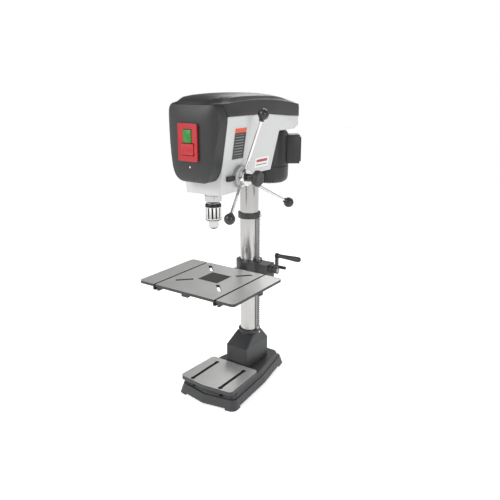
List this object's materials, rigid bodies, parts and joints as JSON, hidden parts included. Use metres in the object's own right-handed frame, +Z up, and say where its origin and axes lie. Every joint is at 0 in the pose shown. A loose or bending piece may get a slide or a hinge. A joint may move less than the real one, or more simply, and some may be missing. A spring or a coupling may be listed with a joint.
{
  "type": "drill press",
  "caption": "Bench drill press with a belt-driven spindle under a hinged cover, a feed wheel with spokes, and a slotted table on a rack and crank.",
  "frame": {"origin": "on the floor, on the axis of the column", "axes": "+Z up the column, +Y to the back where the motor is, +X to the operator's right, the feed wheel's side"},
  "size_m": [0.4424, 0.6461, 1.138],
  "materials": {
    "cast_dark": "satin",
    "cast_white": "satin",
    "cover_dark": "matte",
    "steel_ground": "brushed",
    "steel_turned": "satin",
    "chrome": "polished",
    "motor_black": "satin",
    "black_plastic": "satin",
    "switch_red": "gloss",
    "switch_green": "gloss",
    "fasteners": "satin",
    "aluminium": "satin",
    "belt": "matte",
    "insert_board": "matte",
    "plate_black": "satin",
    "plate_light": "satin",
    "spring_steel": "satin",
    "winding": "satin"
  },
  "bodies": {
    "stand": {"base": "cast_dark", "column_socket": "cast_dark", "base_bolts": "fasteners", "column": "steel_ground", "rack_collar": "cast_dark", "head_casting": "cast_white", "set_screws": "fasteners", "front_panel": "cover_dark", "lid_hinge_base": "fasteners", "warning_plate": "plate_black", "badge_plate": "plate_light", "depth_pointer": "black_plastic", "cord_gland": "black_plastic", "switch_housing": "switch_red", "spring_housing": "black_plastic", "return_spring": "spring_steel", "pulley_bearing": "steel_turned", "idler_post": "steel_turned", "front_belt": "belt", "rear_belt": "belt", "motor_shell": "motor_black", "motor_bell": "motor_black", "capacitor_box": "motor_black", "capacitor_cover": "motor_black", "motor_mount": "fasteners", "motor_bolts": "fasteners"},
    "lid_cover": {"lid": "cover_dark", "lid_hinge_cover": "fasteners"},
    "quill_group": {"quill": "steel_turned", "quill_collar": "steel_turned", "quill_bearings": "steel_turned"},
    "spindle_group": {"spindle": "steel_turned", "chuck_body": "chrome"},
    "sleeve": {"chuck_sleeve": "chrome"},
    "jaw_1": {"chuck_jaw_1": "steel_turned"},
    "jaw_2": {"chuck_jaw_2": "steel_turned"},
    "jaw_3": {"chuck_jaw_3": "steel_turned"},
    "feed": {"feed_shaft": "steel_turned", "feed_hub": "chrome", "feed_spokes": "chrome", "feed_knobs": "black_plastic"},
    "lock_knob": {"depth_lock_knob": "black_plastic"},
    "stop_ring": {"depth_ring": "aluminium"},
    "spindle_cone": {"spindle_pulley": "aluminium"},
    "idler_cone": {"idler_pulley": "aluminium"},
    "rotor": {"motor_rotor": "winding", "motor_pulley": "aluminium"},
    "start": {"start_button": "switch_green"},
    "stop": {"stop_paddle": "switch_red"},
    "rack_swing": {"rack": "steel_turned"},
    "bracket": {"table_bracket": "cast_dark", "tilt_bolt": "fasteners", "gear_pin": "fasteners"},
    "lift_gear": {"elevation_gear": "steel_turned"},
    "crank": {"crank_shaft": "steel_turned", "crank_arm": "cast_dark"},
    "grip": {"crank_grip": "black_plastic"},
    "column_clamp": {"clamp_lever": "black_plastic"},
    "table_top": {"table": "steel_ground", "table_insert": "insert_board"}
  },
  "joints": [
    {"name": "lid_hinge", "type": "hinge", "parent": "stand", "child": "lid_cover", "pos_m": [-0.117, 0, 1.06], "axis": [0, -1, 0], "range_deg": [0, 97]},
    {"name": "quill_travel", "type": "slide", "parent": "stand", "child": "quill_group", "axis": [0, 0, -1], "range_m": [0, 0.079], "stiffness_N_per_m": 900, "springref_m": -0.09},
    {"name": "spindle_spin", "type": "hinge", "parent": "quill_group", "child": "spindle_group", "pos_m": [0, -0.227, 0.85], "axis": [0, 0, 1], "continuous": true},
    {"name": "sleeve_turn", "type": "hinge", "parent": "spindle_group", "child": "sleeve", "pos_m": [0, -0.227, 0.73], "axis": [0, 0, 1], "range_deg": [0, 458]},
    {"name": "jaw_1_travel", "type": "slide", "parent": "spindle_group", "child": "jaw_1", "axis": [0, 0.2588, 0.9659], "range_m": [0, 0.0161]},
    {"name": "jaw_2_travel", "type": "slide", "parent": "spindle_group", "child": "jaw_2", "axis": [-0.2241, -0.1294, 0.9659], "range_m": [0, 0.0161]},
    {"name": "jaw_3_travel", "type": "slide", "parent": "spindle_group", "child": "jaw_3", "axis": [0.2241, -0.1294, 0.9659], "range_m": [0, 0.0161]},
    {"name": "feed_turn", "type": "hinge", "parent": "stand", "child": "feed", "pos_m": [0, -0.185, 0.859], "axis": [1, 0, 0], "range_deg": [0, 267]},
    {"name": "lock_knob_turn", "type": "hinge", "parent": "feed", "child": "lock_knob", "pos_m": [0.147, -0.185, 0.859], "axis": [1, 0, 0], "range_deg": [0, 270]},
    {"name": "stop_ring_turn", "type": "hinge", "parent": "stand", "child": "stop_ring", "pos_m": [0.092, -0.185, 0.859], "axis": [1, 0, 0], "range_deg": [0, 266]},
    {"name": "motor_spin", "type": "hinge", "parent": "stand", "child": "rotor", "pos_m": [0, 0.143, 0.9], "axis": [0, 0, 1], "continuous": true},
    {"name": "idler_spin", "type": "hinge", "parent": "stand", "child": "idler_cone", "pos_m": [0, -0.045, 1.06], "axis": [0, 0, 1], "continuous": true},
    {"name": "spindle_pulley_spin", "type": "hinge", "parent": "stand", "child": "spindle_cone", "pos_m": [0, -0.227, 1.06], "axis": [0, 0, 1], "continuous": true},
    {"name": "start_press", "type": "slide", "parent": "stand", "child": "start", "axis": [0, 1, 0], "range_m": [0, 0.003], "stiffness_N_per_m": 400, "springref_m": -0.002},
    {"name": "stop_press", "type": "slide", "parent": "stand", "child": "stop", "axis": [0, 1, 0], "range_m": [0, 0.003], "stiffness_N_per_m": 400, "springref_m": -0.002},
    {"name": "column_swing", "type": "hinge", "parent": "stand", "child": "rack_swing", "pos_m": [0, 0, 0.43], "axis": [0, 0, 1], "range_deg": [-180, 180]},
    {"name": "table_lift", "type": "slide", "parent": "rack_swing", "child": "bracket", "axis": [0, 0, -1], "range_m": [-0.15, 0.17]},
    {"name": "lift_gear_turn", "type": "hinge", "parent": "bracket", "child": "lift_gear", "pos_m": [0.0645, 0, 0.44], "axis": [0, 1, 0], "range_deg": [-500, 560]},
    {"name": "crank_turn", "type": "hinge", "parent": "bracket", "child": "crank", "pos_m": [0.12, 0, 0.471], "axis": [1, 0, 0], "range_deg": [-2900, 3300]},
    {"name": "grip_spin", "type": "hinge", "parent": "crank", "child": "grip", "pos_m": [0.18, 0, 0.532], "axis": [1, 0, 0], "continuous": true},
    {"name": "clamp_lever_turn", "type": "hinge", "parent": "bracket", "child": "column_clamp", "pos_m": [0, 0.081, 0.456], "axis": [0, 1, 0], "range_deg": [-60, 90]},
    {"name": "table_tilt", "type": "hinge", "parent": "bracket", "child": "table_top", "pos_m": [0, -0.0715, 0.431], "axis": [0, 1, 0], "range_deg": [-45, 45]}
  ],
  "couplings": [
    {"joint": "feed_turn", "follows": "quill_travel", "rad_per_m": 58.824},
    {"joint": "jaw_1_travel", "follows": "sleeve_turn", "m_per_rad": 0.002},
    {"joint": "jaw_2_travel", "follows": "sleeve_turn", "m_per_rad": 0.002},
    {"joint": "jaw_3_travel", "follows": "sleeve_turn", "m_per_rad": 0.002},
    {"joint": "idler_spin", "follows": "motor_spin", "ratio": 0.4375},
    {"joint": "spindle_pulley_spin", "follows": "motor_spin", "ratio": 0.39375},
    {"joint": "spindle_spin", "follows": "motor_spin", "ratio": 0.39375},
    {"joint": "lift_gear_turn", "follows": "table_lift", "rad_per_m": 55.556},
    {"joint": "crank_turn", "follows": "table_lift", "rad_per_m": 333.33}
  ]
}
